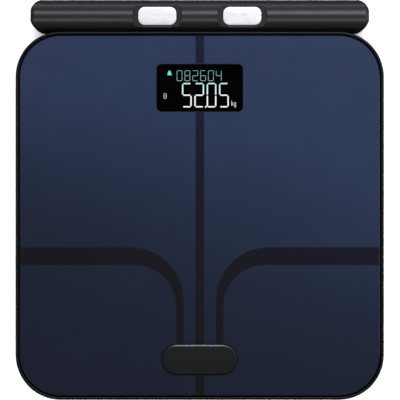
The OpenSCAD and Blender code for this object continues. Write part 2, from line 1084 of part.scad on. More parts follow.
// Flat spiral spring fixed to the arbor, as half turns about two centres a half step apart
module reel_spring() {
  strip_h = 5;
  start_r = arbor_r + 0.4;
  end_r = core_r - core_wall - 0.6;
  half_step = (end_r - start_r - spring_t) / (2 * spring_turns);
  color([0.55, 0.56, 0.60])
    at_reel()
      translate([0, 0, spool_z + 0.6]) {
        for (i = [0:2 * spring_turns - 1])
          translate([0, i % 2 * half_step, 0])
            rotate([0, 0, 90 + 180 * i])
              rotate_extrude(angle = 180)
                translate([start_r + half_step * i, 0])
                  square([spring_t, strip_h]);
        translate([0, arbor_r + 0.02, 0])
          cube([spring_t, start_r + spring_t - arbor_r - 0.02, strip_h]);
      }
}

module reel_cover() {
  color([0.80, 0.80, 0.78])
    at_reel()
      tube(housing_r + housing_wall, axle_r, housing_top, cover_t);
}

// Turns on the spool: three layers of three, less the last turn, which lead_run holds
module lead_winding() {
  color([0.09, 0.09, 0.10])
    at_reel()
      for (i = [0:2], k = [-1:1])
        if (i < 2 || k != 0)
          translate([0, 0, handle_z + k * turn_step])
            torus(core_turn_r + i * turn_step, lead_d / 2);
}

// Route of the lead: last turn on the spool, straight run along the rear wall, bend round the
// pulley, and run to the gland
lead_route = concat(
  [
    for (a = [last_turn_start:10:0])
      [reel_x - outer_turn_r * sin(a), reel_y + outer_turn_r * cos(a), handle_z]
  ],
  [for (a = [0:10:90]) [pulley_x - bend_r * sin(a), pulley_y - bend_r * cos(a), handle_z]],
  [[0, lead_split_y - 0.2, handle_z]]
);

module lead_run() {
  color([0.09, 0.09, 0.10])
    sweep(lead_route, lead_d / 2, 12);
}

module guide_pulley() {
  color([0.9, 0.9, 0.9])
    translate([pulley_x, pulley_y, handle_z])
      rotate_extrude()
        difference() {
          translate([pulley_bore_r, -pulley_h / 2])
            square([pulley_r - pulley_bore_r, pulley_h]);
          translate([bend_r, 0])
            circle(pulley_groove_r);
        }
}

module pulley_pin() {
  color([0.8, 0.8, 0.82])
    translate([pulley_x, pulley_y, 0]) {
      rod(pulley_pin_r, plate_top + 0.5, ledge_top - ledge_t - 0.3 - plate_top - 0.5);
      rod(pulley_pin_r + 1, handle_z + pulley_h / 2 + 0.2, 0.6);
    }
}

module lead_gland() {
  body_l = groove_y - dock_y - 0.2;
  color([0.20, 0.20, 0.21])
    translate([0, dock_y, handle_z])
      rotate([-90, 0, 0])
        difference() {
          union() {
            rod(gland_flange_r, -gland_flange_t, gland_flange_t);
            rod(gland_r - 0.02, -0.5, body_l + 0.5);
          }
          rod(gland_bore_r, -5, 12);
          translate([0, 0, body_l - 0.8])
            cylinder(r1 = gland_bore_r, r2 = gland_bore_r + 0.9, h = 0.9);
        }
}

module dock_magnets() {
  color([0.75, 0.76, 0.78])
    for (x = [-magnet_x, magnet_x])
      translate([x, dock_y - magnet_t, handle_z])
        rotate([-90, 0, 0])
          cylinder(r = magnet_r, h = magnet_t);
}

// ---------------------------------------------------------------- handle

// Solid bar along X, drawn in by the same distance all round
module bar(inset) {
  l = handle_l - 2 * inset;
  r = handle_r - inset;
  fillet = end_fillet - inset;
  intersection() {
    rotate([0, 90, 0])
      rotate_extrude()
        intersection() {
          union() {
            square([2 * r, l - 2 * fillet], center = true);
            square([2 * (r - fillet), l], center = true);
            for (s = [-1, 1])
              translate([r - fillet, s * (l / 2 - fillet)])
                circle(fillet);
          }
          translate([0, -l])
            square([2 * r, 2 * l]);
        }
    translate([0, 0, -handle_d])
      linear_extrude(2 * handle_d)
        bar_plan(l + 2 * end_over, r + end_over, end_rear_r - inset, end_front_r - inset);
  }
}

// Outline of the bar seen from above, with its own corner radius behind and in front
module bar_plan(l, r, rear_r, front_r) {
  square([l - 2 * front_r, 2 * r], center = true);
  translate([-l / 2, front_r - r])
    square([l, 2 * r - rear_r - front_r]);
  translate([-l / 2 + rear_r, r - rear_r])
    square([l - 2 * rear_r, rear_r]);
  for (s = [-1, 1]) {
    translate([s * (l / 2 - rear_r), r - rear_r])
      circle(rear_r);
    translate([s * (l / 2 - front_r), front_r - r])
      circle(front_r);
  }
}

module half_space(side) {
  translate([-handle_l, -handle_d, side > 0 ? 0 : -handle_d])
    cube([2 * handle_l, 2 * handle_d, handle_d]);
}

// Fine rebate along the parting line of the two shells, on one side of it
module seam_rebate(side) {
  seam = 0.25;
  difference() {
    translate([-handle_l, -handle_d, side > 0 ? -1 : -seam])
      cube([2 * handle_l, 2 * handle_d, seam + 1]);
    bar(seam);
  }
}

module at_handle_screws() {
  for (s = [-1, 1], x = handle_screw_x)
    translate([s * x, 0, 0])
      children();
}

module at_thumbs() {
  for (s = [-1, 1])
    translate([s * thumb_x, 0, 0])
      children();
}

// Slopes the shell's edge in front of a thumb plate
module thumb_lip() {
  reach = 5;
  translate([-lip_l / 2, -thumb_w / 2 - thumb_gap, facet_h - lip_drop])
    rotate([lip_tilt, 0, 0])
      translate([0, -reach, 0])
        cube([lip_l, reach + thumb_gap, reach]);
}

module handle_upper_shell() {
  color([0.09, 0.09, 0.10])
    at_handle()
      difference() {
        union() {
          difference() {
            intersection() {
              bar(0);
              half_space(1);
            }
            bar(shell_t);
          }
          intersection() {
            bar(1);
            at_thumbs()
              box(scoop_l + 4, 2 * handle_r, facet_h - thumb_t - tray_h, 5);
          }
          at_handle_screws()
            rod(handle_boss_r, 0.3, handle_r - shell_t);
        }
        at_thumbs() {
          slab(scoop_l, scoop_w, scoop_r, facet_h, 10);
          slab(thumb_l + 2 * thumb_gap, thumb_w + 2 * thumb_gap, thumb_r + thumb_gap,
               facet_h - thumb_t, 10);
          rod(thumb_stem_r + 0.1, 0, facet_h);
          thumb_lip();
        }
        at_handle_screws()
          rod(1.1, -1, 8);
        relief_hole();
        seam_rebate(1);
      }
}

module handle_lower_shell() {
  color([0.09, 0.09, 0.10])
    at_handle()
      difference() {
        union() {
          difference() {
            intersection() {
              bar(0);
              half_space(-1);
            }
            bar(shell_t);
          }
          at_handle_screws()
            rod(handle_boss_r, -handle_r + 1.2, handle_r - 1.2);
          for (s = [-1, 1])
            finger_backing(s);
        }
        for (s = [-1, 1])
          translate([s * finger_x, 0, 0])
            finger_skin(finger_l + 0.2, handle_r + 1, handle_r - finger_t, finger_arc + 1);
        at_handle_screws() {
          rod(1.3, -20, 30);
          rod(2.8, -20, 20 - handle_r + 4);
        }
        relief_hole();
        seam_rebate(-1);
      }
}

// Thickens the shell under a finger plate
module finger_backing(s) {
  translate([s * finger_x, 0, 0])
    finger_skin(finger_l + 4, handle_r - shell_t + 0.3, handle_r - shell_t - 0.8, finger_arc + 12);
}

// Stretch of tube centred on straight down, between two radii
module finger_skin(l, r_out, r_in, arc) {
  rotate([0, 90, 0])
    translate([0, 0, -l / 2])
      rotate([0, 0, -arc / 2])
        rotate_extrude(angle = arc)
          translate([r_in, 0])
            square([r_out - r_in, l]);
}

module relief_hole() {
  translate([0, -handle_r - 1, 0])
    rotate([-90, 0, 0])
      cylinder(r = relief_r, h = 6);
}

module thumb_electrode(side) {
  edge = 0.4;
  stem_l = 4;
  color([0.9, 0.9, 0.92])
    at_handle()
      translate([side * thumb_x, 0, 0])
        union() {
          edged_slab(thumb_l, thumb_w, thumb_r, facet_h - thumb_t, thumb_t, 0, edge);
          rod(thumb_stem_r, facet_h - thumb_t - stem_l, stem_l + 0.2);
        }
}

module finger_electrode(side) {
  color([0.85, 0.85, 0.87])
    at_handle()
      translate([side * finger_x, 0, 0])
        finger_skin(finger_l, handle_r, handle_r - finger_t + 0.05, finger_arc);
}

module handle_board() {
  board_h = 1.5;
  color([0.08, 0.30, 0.16])
    at_handle() {
      translate([0, 1.5, 0]) {
        difference() {
          box(handle_board_l, handle_board_w, board_h, handle_board_t);
          translate([0, -1.5, 0])
            at_handle_screws()
              rod(handle_boss_r + 0.3, board_h - 1, 4);
        }
        box(6, 6, board_h + handle_board_t, 1.2);
      }
    }
}

module handle_magnets() {
  depth = magnet_t;
  color([0.75, 0.76, 0.78])
    for (x = [-magnet_x, magnet_x])
      translate([x, handle_y - handle_r + shell_t + 0.7, handle_z])
        rotate([-90, 0, 0])
          cylinder(r = magnet_r, h = depth);
}

module handle_screws() {
  head_z = -handle_r + 2.4;
  color([0.55, 0.56, 0.58])
    at_handle()
      at_handle_screws()
        difference() {
          union() {
            rod(2.4, head_z, 1.4);
            rod(1.1, head_z, 15);
          }
          cross_slot(head_z);
        }
}

module handle_strain_relief() {
  color([0.20, 0.20, 0.21])
    translate([0, handle_face_y + 0.15, handle_z])
      rotate([-90, 0, 0])
        difference() {
          union() {
            rod(relief_r - 0.02, 0, relief_l);
            rod(relief_r + 1, shell_t + 0.7, 1.6);
          }
          rod(lead_d / 2, -1, relief_l + 2);
        }
}

module handle_lead() {
  color([0.09, 0.09, 0.10])
    translate([0, lead_split_y, handle_z])
      rotate([-90, 0, 0])
        cylinder(r = lead_d / 2, h = handle_face_y + relief_l - lead_split_y + 2);
}

// ---------------------------------------------------------------- nodes

glass_platform();
toe_electrode(-1);  // toe_electrode_left
toe_electrode(1);  // toe_electrode_right
heel_electrode(-1);  // heel_electrode_left
heel_electrode(1);  // heel_electrode_right
back_print();
glass_tape();
rim_frame();
base_tray();
base_screws();
contact_cap();
contact_gasket();
contact_block();
contact_pins();
display_lcd();
display_backlight();
display_holder();
main_board();
board_parts();
battery_cells();
battery_contacts();
battery_door();
unit_button();
button_switch();
cell_brackets();
load_cell_leads();
reel_base();
reel_axle();
reel_spool();
reel_spring();
reel_cover();
lead_winding();
guide_pulley();
pulley_pin();
lead_run();
lead_gland();
dock_magnets();
handle_upper_shell();
handle_lower_shell();
thumb_electrode(-1);  // thumb_electrode_left
thumb_electrode(1);  // thumb_electrode_right
finger_electrode(-1);  // finger_electrode_left
finger_electrode(1);  // finger_electrode_right
handle_board();
handle_magnets();
handle_screws();
handle_lead();
handle_strain_relief();
for (c = CORNERS) {
  at_corner(c) load_cell();
  at_corner(c) foot_cap();
  at_corner(c) foot_pad();
}
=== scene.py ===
import math

import bmesh
import bpy
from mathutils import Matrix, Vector


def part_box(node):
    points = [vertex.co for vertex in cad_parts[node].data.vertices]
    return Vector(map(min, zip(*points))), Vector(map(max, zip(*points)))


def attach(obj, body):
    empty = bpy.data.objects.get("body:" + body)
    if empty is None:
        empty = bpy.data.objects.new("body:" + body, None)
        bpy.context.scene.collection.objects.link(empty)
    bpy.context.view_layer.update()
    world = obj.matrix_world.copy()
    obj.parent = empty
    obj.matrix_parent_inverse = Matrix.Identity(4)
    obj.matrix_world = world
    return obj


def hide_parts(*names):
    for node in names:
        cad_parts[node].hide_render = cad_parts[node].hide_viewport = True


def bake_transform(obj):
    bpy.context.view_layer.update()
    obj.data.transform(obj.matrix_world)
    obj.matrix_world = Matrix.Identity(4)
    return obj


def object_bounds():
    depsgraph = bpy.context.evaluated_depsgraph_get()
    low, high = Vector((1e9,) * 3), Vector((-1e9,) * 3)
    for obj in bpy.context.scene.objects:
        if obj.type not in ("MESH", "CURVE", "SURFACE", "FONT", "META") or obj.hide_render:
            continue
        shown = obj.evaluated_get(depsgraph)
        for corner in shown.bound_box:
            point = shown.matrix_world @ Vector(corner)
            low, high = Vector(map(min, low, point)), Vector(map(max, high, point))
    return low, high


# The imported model: glass platform with a pull-out handle bar along its rear edge
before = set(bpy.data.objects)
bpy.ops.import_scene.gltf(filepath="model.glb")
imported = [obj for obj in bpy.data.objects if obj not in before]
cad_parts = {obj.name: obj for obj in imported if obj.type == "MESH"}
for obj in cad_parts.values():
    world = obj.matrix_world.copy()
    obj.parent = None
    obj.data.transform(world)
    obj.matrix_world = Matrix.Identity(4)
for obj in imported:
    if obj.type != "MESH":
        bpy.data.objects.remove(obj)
cad_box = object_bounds()

SCENE = bpy.context.scene
MM = 0.001


# ---------------------------------------------------------------- places taken from the frame


def middle(node):
    """Centre of a CAD node's box."""
    lo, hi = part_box(node)
    return (lo + hi) / 2


GLASS_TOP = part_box("glass_platform")[1].z
FILM_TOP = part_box("toe_electrode_left")[1].z
LCD = middle("display_lcd")
HANDLE = middle("handle_upper_shell")


# ---------------------------------------------------------------- camera, light and floor

FRAME_SIDE = 0.3255        # metres of the object's top that the picture's side covers
CAMERA_SHIFT = Vector((0.0002, -0.0005, 0))
LENS = 200
SENSOR = 36


def make_camera():
    """Long lens straight above the platform, with the handle at the top of the picture."""
    data = bpy.data.cameras.new("camera")
    data.lens = LENS
    data.sensor_width = SENSOR
    data.clip_start = 0.1
    data.clip_end = 20
    camera = bpy.data.objects.new("camera", data)
    SCENE.collection.objects.link(camera)
    lo, hi = cad_box
    centre = (lo + hi) / 2
    height = GLASS_TOP + FRAME_SIDE * LENS / SENSOR
    camera.location = Vector((centre.x, centre.y, height)) + CAMERA_SHIFT
    SCENE.camera = camera


def make_panel(name, centre, target, width, depth, power, colour=(1, 1, 1), lights=None):
    """Soft rectangular light that points at target. It lights only the objects in `lights`, if given."""
    data = bpy.data.lights.new(name, "AREA")
    data.shape = "RECTANGLE"
    data.size = width
    data.size_y = depth
    data.energy = power
    data.color = colour
    panel = bpy.data.objects.new(name, data)
    SCENE.collection.objects.link(panel)
    panel.location = centre
    panel.rotation_mode = "QUATERNION"
    panel.rotation_quaternion = (Vector(target) - Vector(centre)).to_track_quat("-Z", "Y")
    panel.visible_camera = False
    if lights:
        group = bpy.data.collections.new(name + "_lights")
        for obj in lights:
            group.objects.link(obj)
        panel.light_linking.receiver_collection = group


def make_world(levels, front_shade):
    """Studio surround, graded by the height of each direction: (sine of elevation, colour) from low to
    high. Towards the heels it fades to `front_shade` of that."""
    fade_end, fade_start = -0.9, -0.4
    world = bpy.data.worlds.new("studio")
    SCENE.world = world
    world.use_nodes = True
    tree = world.node_tree
    background = tree.nodes["Background"]
    coordinates = tree.nodes.new("ShaderNodeTexCoord")
    axes = tree.nodes.new("ShaderNodeSeparateXYZ")
    grade = tree.nodes.new("ShaderNodeValToRGB")
    grade.color_ramp.interpolation = "EASE"
    stops = grade.color_ramp.elements
    while len(stops) < len(levels):
        stops.new(0.5)
    for stop, (sine, colour) in zip(stops, levels):
        stop.position = (sine + 1) / 2
        stop.color = (*colour, 1)
    tree.links.new(coordinates.outputs["Generated"], axes.inputs[0])
    height = mapped(tree, axes.outputs["Z"], 0, 1, -1, 1)
    tree.links.new(height, grade.inputs["Fac"])
    tree.links.new(grade.outputs["Color"], background.inputs["Color"])
    fade = mapped(tree, axes.outputs["Y"], front_shade, 1, fade_end, fade_start)
    tree.links.new(fade, background.inputs["Strength"])


def make_floor(material):
    """Plain pale floor just under the rubber soles."""
    side = 16
    gap = 0.1 * MM
    shape = bmesh.new()
    bmesh.ops.create_grid(shape, x_segments=1, y_segments=1, size=side / 2)
    mesh = bpy.data.meshes.new("floor")
    shape.to_mesh(mesh)
    shape.free()
    floor = bpy.data.objects.new("floor", mesh)
    floor.location.z = -gap
    mesh.materials.append(material)
    floor.visible_glossy = False
    SCENE.collection.objects.link(floor)
    return floor


# ---------------------------------------------------------------- materials


def srgb(*levels):
    """Linear colour of three screen levels from 0 to 255."""
    def linear(v):
        return v / 12.92 if v <= 0.04045 else ((v + 0.055) / 1.055) ** 2.4
    return tuple(linear(v / 255) for v in levels)


def noise(tree, source, scale, detail):
    """Noise texture of a scale per metre, fed by a vector socket."""
    roughness = 0.55
    node = tree.nodes.new("ShaderNodeTexNoise")
    node.inputs["Scale"].default_value = scale
    node.inputs["Detail"].default_value = detail
    node.inputs["Roughness"].default_value = roughness
    tree.links.new(source, node.inputs["Vector"])
    return node.outputs["Fac"]


def ramp(tree, source, low, high, dark, light):
    """Colour that goes from dark to light as source goes from low to high."""
    node = tree.nodes.new("ShaderNodeValToRGB")
    node.color_ramp.elements[0].position = low
    node.color_ramp.elements[1].position = high
    node.color_ramp.elements[0].color = (*dark, 1)
    node.color_ramp.elements[1].color = (*light, 1)
    tree.links.new(source, node.inputs["Fac"])
    return node.outputs["Color"]


def mapped(tree, source, low, high, from_low=0.3, from_high=0.7):
    """Source's values between from_low and from_high, spread from low to high."""
    node = tree.nodes.new("ShaderNodeMapRange")
    node.inputs["From Min"].default_value = from_low
    node.inputs["From Max"].default_value = from_high
    node.inputs["To Min"].default_value = low
    node.inputs["To Max"].default_value = high
    tree.links.new(source, node.inputs["Value"])
    return node.outputs["Result"]


def new_finish(name, stretch=(1, 1, 1)):
    """Material with its tree, shader and object coordinates, stretched along each axis."""
    material = bpy.data.materials.new(name)
    material.use_nodes = True
    tree = material.node_tree
    shader = tree.nodes["Principled BSDF"]
    coordinates = tree.nodes.new("ShaderNodeTexCoord")
    mapping = tree.nodes.new("ShaderNodeMapping")
    mapping.inputs["Scale"].default_value = stretch
    tree.links.new(coordinates.outputs["Object"], mapping.inputs["Vector"])
    return material, tree, shader, mapping.outputs["Vector"]


def set_shader(shader, values):
    """Sets the shader's own sockets, named as keywords."""
    for key, value in values.items():
        socket = shader.inputs[key.replace("_", " ").title().replace("Ior", "IOR")]
        socket.default_value = (*value, 1) if isinstance(value, tuple) else value


def relief(tree, shader, source, height):
    """Bump of a height in metres."""
    node = tree.nodes.new("ShaderNodeBump")
    node.inputs["Strength"].default_value = 1.0
    node.inputs["Distance"].default_value = height
    tree.links.new(source, node.inputs["Height"])
    tree.links.new(node.outputs["Normal"], shader.inputs["Normal"])


def finish(name, dark, light, drift, rough, grain, height, stretch=(1, 1, 1), **values):
    """Procedural finish. Its colour drifts from dark to light over `drift` metres, its roughness
    between the two values of `rough`, and its relief is `height` metres at a scale of `grain`."""
    material, tree, shader, place = new_finish(name, stretch)
    broad = noise(tree, place, 1 / drift, 5)
    fine = noise(tree, place, 1 / grain, 3)
    colour = ramp(tree, broad, 0.32, 0.68, srgb(*dark), srgb(*light))
    tree.links.new(colour, shader.inputs["Base Color"])
    tree.links.new(mapped(tree, fine, *rough), shader.inputs["Roughness"])
    relief(tree, shader, fine, height)
    set_shader(shader, values)
    return material


def painted_light_gradient_finish(name, stops, rough, **values):
    """Coated glass whose colour is painted darker at the heels' left and lighter at the toes' right,
    painted shade and light standing in for light that falls brighter there, in stops of (place, colour),
    where place is along Y plus a part of X."""
    part_of_x = 0.3
    drift_scale, drift_by = 6, 0.01
    haze_scale = 45
    grain_scale, grain_height = 500, 0.002 * MM
    material, tree, shader, place = new_finish(name)
    axes = tree.nodes.new("ShaderNodeSeparateXYZ")
    tree.links.new(place, axes.inputs[0])
    # Painted shade and light: this slope along Y plus a part of X sets where the colour turns from painted
    # shade to painted light
    slope = tree.nodes.new("ShaderNodeMath")
    slope.operation = "MULTIPLY_ADD"
    slope.inputs[1].default_value = part_of_x
    tree.links.new(axes.outputs["X"], slope.inputs[0])
    tree.links.new(axes.outputs["Y"], slope.inputs[2])
    drift = tree.nodes.new("ShaderNodeMath")
    drift.operation = "ADD"
    broad = noise(tree, place, drift_scale, 2)
    tree.links.new(mapped(tree, broad, -drift_by, drift_by), drift.inputs[0])
    tree.links.new(slope.outputs[0], drift.inputs[1])
    first, last = stops[0][0], stops[-1][0]
    grade = tree.nodes.new("ShaderNodeValToRGB")
    elements = grade.color_ramp.elements
    while len(elements) < len(stops):
        elements.new(0.5)
    for element, (where, colour) in zip(elements, stops):
        element.position = (where - first) / (last - first)
        element.color = (*srgb(*colour), 1)
    tree.links.new(mapped(tree, drift.outputs[0], 0, 1, first, last), grade.inputs["Fac"])
    tree.links.new(grade.outputs["Color"], shader.inputs["Base Color"])
    haze = noise(tree, place, haze_scale, 4)
    tree.links.new(mapped(tree, haze, *rough), shader.inputs["Roughness"])
    relief(tree, shader, noise(tree, place, grain_scale, 2), grain_height)
    set_shader(shader, values)
    return material


def make_materials():
    """One finish for each of the record's material slots."""
    m = {}
    # The film's stops are painted shade and light: darker at the heels' left, lighter at the toes' right,
    # where the light falls brighter
    m["electrode_film"] = painted_light_gradient_finish(
        "electrode_film",
        [(-0.17, (23, 31, 54)), (-0.06, (30, 40, 66)), (0.0, (38, 52, 81)), (0.06, (46, 62, 98))],
        (0.24, 0.30), specular_ior_level=0.42)
    # The glass's stops are painted shade and light in the same way, darker at the heels' left and lighter
    # at the toes' right
    m["printed_glass"] = painted_light_gradient_finish(
        "printed_glass",
        [(-0.155, (13, 13, 16)), (-0.08, (16, 14, 23)), (0.0, (16, 18, 38)), (0.115, (19, 29, 54))],
        (0.04, 0.07))
    m["black_print"] = finish(
        "black_print", (6, 6, 9), (10, 10, 14), 0.01, (0.5, 0.6), 0.0004, 0.01 * MM)
    m["foam_tape"] = finish(
        "foam_tape", (206, 205, 196), (232, 231, 224), 0.003, (0.8, 0.95), 0.0004, 0.08 * MM)
    m["black_housing"] = finish(
        "black_housing", (9, 9, 11), (15, 15, 17), 0.02, (0.30, 0.38), 0.0006, 0.004 * MM,
        specular_ior_level=0.3)
    m["base_plastic"] = finish(
        "base_plastic", (34, 34, 37), (46, 46, 49), 0.006, (0.46, 0.6), 0.0005, 0.03 * MM)
    m["cap_plastic"] = finish(
        "cap_plastic", (12, 13, 17), (16, 17, 21), 0.004, (0.24, 0.3), 0.0004, 0.002 * MM)
    m["inner_plastic"] = finish(
        "inner_plastic", (196, 195, 188), (222, 221, 215), 0.012, (0.45, 0.6), 0.0007, 0.02 * MM)
    m["screw_steel"] = finish(
        "screw_steel", (120, 122, 126), (168, 170, 174), 0.002, (0.28, 0.42), 0.0003, 0.01 * MM,
        metallic=1.0)
    m["contact_steel"] = finish(
        "contact_steel", (168, 170, 176), (208, 210, 214), 0.004, (0.2, 0.34), 0.0004, 0.004 * MM,
        metallic=1.0)
    m["contact_brass"] = finish(
        "contact_brass", (176, 140, 72), (214, 180, 108), 0.003, (0.22, 0.36), 0.0004, 0.004 * MM,
        metallic=1.0)
    m["electrode_steel"] = finish(
        "electrode_steel", (226, 227, 230), (240, 241, 243), 0.003, (0.26, 0.4), 0.0004, 0.003 * MM,
        stretch=(0.06, 1, 1), metallic=1.0)
    m["magnet_nickel"] = finish(
        "magnet_nickel", (176, 178, 182), (200, 202, 206), 0.003, (0.18, 0.28), 0.0005, 0.002 * MM,
        metallic=1.0)
    m["display_glass"] = finish(
        "display_glass", (0, 0, 0), (2, 2, 3), 0.02, (0.05, 0.09), 0.003, 0.0004 * MM,
        specular_ior_level=0.05)
    m["light_guide"] = finish(
        "light_guide", (232, 236, 240), (246, 248, 250), 0.01, (0.1, 0.2), 0.0008, 0.002 * MM,
        transmission_weight=0.2)
    m["circuit_board"] = finish(
        "circuit_board", (10, 58, 34), (22, 92, 54), 0.0022, (0.3, 0.45), 0.0009, 0.03 * MM,
        stretch=(1, 0.12, 1))
    m["chip_black"] = finish(
        "chip_black", (17, 17, 18), (28, 28, 30), 0.001, (0.5, 0.68), 0.0002, 0.01 * MM)
    m["cell_jacket"] = finish(
        "cell_jacket", (148, 112, 48), (206, 168, 92), 0.03, (0.26, 0.36), 0.001, 0.004 * MM,
        stretch=(1, 0.1, 0.1), metallic=0.7)
    m["button_grey"] = finish(
        "button_grey", (138, 140, 144), (160, 162, 166), 0.002, (0.4, 0.52), 0.0003, 0.01 * MM)
    m["foot_rubber"] = finish(
        "foot_rubber", (38, 38, 39), (56, 56, 57), 0.004, (0.78, 0.92), 0.0004, 0.06 * MM)
    m["lead_rubber"] = finish(
        "lead_rubber", (5, 5, 6), (9, 9, 10), 0.004, (0.5, 0.62), 0.0003, 0.01 * MM,
        specular_ior_level=0.2)
    m["handle_plastic"] = finish(
        "handle_plastic", (12, 13, 16), (17, 18, 21), 0.006, (0.30, 0.36), 0.0005, 0.003 * MM)
    m["floor"] = finish(
        "floor", (236, 236, 236), (244, 244, 244), 0.4, (0.7, 0.8), 0.01, 0.02 * MM)
    return m


def glow_finish(name, low, high, bottom, top, strength):
    """Lit segments: colour goes from bottom to top between two places along Y."""
    patch_scale = 900
    weakest = 0.94 * strength
    unlit = (0.02, 0.02, 0.02, 1)
    material, tree, shader, place = new_finish(name)
    axes = tree.nodes.new("ShaderNodeSeparateXYZ")
    tree.links.new(place, axes.inputs[0])
    rise = mapped(tree, axes.outputs["Y"], 0, 1, low, high)
    colour = ramp(tree, rise, 0, 1, srgb(*bottom), srgb(*top))
    tree.links.new(colour, shader.inputs["Emission Color"])
    uneven = noise(tree, place, patch_scale, 2)
    tree.links.new(mapped(tree, uneven, weakest, strength), shader.inputs["Emission Strength"])
    tree.links.new(mapped(tree, uneven, 0.3, 0.4), shader.inputs["Roughness"])
    shader.inputs["Base Color"].default_value = unlit
    return material


def dress_frame(materials):
    """Gives every CAD node the finish of its slot."""
    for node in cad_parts.values():
        for holder in node.material_slots:
            holder.material = materials[holder.material.name.split(".")[0]]


# ---------------------------------------------------------------- mesh helpers


def arc(cx, cy, r, start, turn, steps):
    """Points round part of a circle, angles in degrees."""
    return [
        (cx + r * math.cos(math.radians(start + turn * i / steps)),
         cy + r * math.sin(math.radians(start + turn * i / steps)))
        for i in range(steps + 1)
    ]


def rounded_outline(width, depth, r, steps=12):
    """Anticlockwise outline of a rounded rectangle round the origin."""
    x, y = width / 2 - r, depth / 2 - r
    corners = ((x, y, 0), (-x, y, 90), (-x, -y, 180), (x, -y, 270))
    return [p for cx, cy, start in corners for p in arc(cx, cy, r, start, 90, steps)]


def skin(shape, rings, closed=True):
    """Quads between rings of points of equal length, with both ends filled if closed."""
    rows = [[shape.verts.new(p) for p in ring] for ring in rings]
    count = len(rows[0])
    for a, b in zip(rows, rows[1:]):
        for i in range(count):
            j = (i + 1) % count
            shape.faces.new((a[i], a[j], b[j], b[i]))
    if closed:
        shape.faces.new(rows[0][::-1])
        shape.faces.new(rows[-1])


def add_slab(shape, centre, width, depth, r, profile, steps=12):
    """Rounded rectangle whose edge follows profile, a list of (inset, height)."""
    skin(shape, [
        [(centre.x + x, centre.y + y, z)
         for x, y in rounded_outline(width - 2 * inset, depth - 2 * inset, r - inset, steps)]
        for inset, z in profile
    ])


def add_lathe(shape, centre, profile, steps=96):
    """Solid of revolution about the vertical through centre, profile as (radius, height)."""
    skin(shape, [
        [(centre.x + x, centre.y + y, z) for x, y in arc(0, 0, r, 0, 360, steps)[:-1]]
        for r, z in profile
    ])


def add_stroke(shape, start, end, width, low, high, cap_steps=5):
    """Flat capsule from start to end, between two heights."""
    (x0, y0), (x1, y1) = start, end
    heading = math.degrees(math.atan2(y1 - y0, x1 - x0))
    outline = arc(x1, y1, width / 2, heading - 90, 180, cap_steps)
    outline += arc(x0, y0, width / 2, heading + 90, 180, cap_steps)
    skin(shape, [[(x, y, z) for x, y in outline] for z in (low, high)])


def add_plate(shape, outline, low, high):
    """Flat piece of any anticlockwise outline, between two heights."""
    skin(shape, [[(x, y, z) for x, y in outline] for z in (low, high)])


def round_over(r, steps, z):
    """Profile points of a rounded top edge that ends flat at height z."""
    return [(r + x, z - r + y) for x, y in arc(0, 0, r, 180, -90, steps)]


def make_piece(name, shape, material, body, crease=35):
    """Turns a bmesh into a piece that rides on a body and takes its finish from a slot."""
    bmesh.ops.recalc_face_normals(shape, faces=shape.faces)
    mesh = bpy.data.meshes.new(name)
    shape.to_mesh(mesh)
    shape.free()
    mesh.materials.append(material)
    mesh.shade_smooth()
    mesh.set_sharp_from_angle(angle=math.radians(crease))
    obj = bpy.data.objects.new(name, mesh)
    SCENE.collection.objects.link(obj)
    if body:
        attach(obj, body)
    return obj


# ---------------------------------------------------------------- display

WINDOW_W = 70.3 * MM
WINDOW_D = 38.7 * MM
WINDOW_R = 4 * MM
PANE_T = 0.08 * MM
GLOW_T = 0.02 * MM

DIGIT_W = 6.8 * MM           # between the middles of a digit's upright strokes
DIGIT_H = 18.9 * MM
DIGIT_PITCH = 10.05 * MM
DIGIT_STROKE = 1.05 * MM
SMALL_W = 4.1 * MM
SMALL_H = 8.2 * MM
SMALL_PITCH = 6.38 * MM
SMALL_STROKE = 0.44 * MM
MARK_STROKE = 0.36 * MM
UNIT_STROKE = 0.34 * MM
LIT_FOOT = GLASS_TOP + PANE_T + 0.001 * MM
LIT_Z = (LIT_FOOT, LIT_FOOT + GLOW_T)        # bottom and top of every lit piece

# Lit segments of each numeral: top, upper right, lower right, bottom, lower left, upper left, middle
SEGMENTS = {
    "0": "abcdef", "1": "bc", "2": "abged", "3": "abgcd", "4": "fgbc",
    "5": "afgcd", "6": "afgedc", "7": "abc", "8": "abcdefg", "9": "abcdfg",
}


def add_digit(shape, numeral, x, y, width, height, stroke):
    """Seven-segment numeral whose lower left stroke starts at (x, y)."""
    gap = stroke * 0.9
    half = height / 2
    ends = {
        "a": ((gap, height), (width - gap, height)),
        "b": ((width, half + gap), (width, height - gap)),
        "c": ((width, gap), (width, half - gap)),
        "d": ((gap, 0), (width - gap, 0)),
        "e": ((0, gap), (0, half - gap)),
        "f": ((0, half + gap), (0, height - gap)),
        "g": ((gap, half), (width - gap, half)),
    }
    for segment in SEGMENTS[numeral]:
        (x0, y0), (x1, y1) = ends[segment]
        add_stroke(shape, (x + x0, y + y0), (x + x1, y + y1), stroke, *LIT_Z)


def make_window(materials):
    """Glossy black pane in the film's cut-out, with a thin paler line on the film round it, a painted
    highlight along the cut-out's edge.
    """
    gap = 0.05 * MM
    line = 0.5 * MM
    edge = 0.02 * MM
    top = GLASS_TOP + PANE_T
    pane = bmesh.new()
    add_slab(pane, LCD, WINDOW_W - 2 * gap, WINDOW_D - 2 * gap, WINDOW_R - gap,
             [(0, GLASS_TOP), (0, top - edge), (edge, top)])
    make_piece("display_window", pane, materials["display_glass"], "platform")

    border = bmesh.new()
    low, high = FILM_TOP - GLOW_T, FILM_TOP + GLOW_T
    rings = [
        [(LCD.x + x, LCD.y + y, z) for x, y in rounded_outline(
            WINDOW_W + 2 * out, WINDOW_D + 2 * out, WINDOW_R + out)]
        for out, z in ((line, low), (line, high), (0, high), (0, low))
    ]
    skin(border, rings + rings[:1], closed=False)
    bmesh.ops.remove_doubles(border, verts=border.verts, dist=1e-7)
    # Painted highlight: the paler hairline round the window stands in for light caught by the film's cut
    # edge
    make_piece("display_window_line", border, materials["window_line"], "platform")


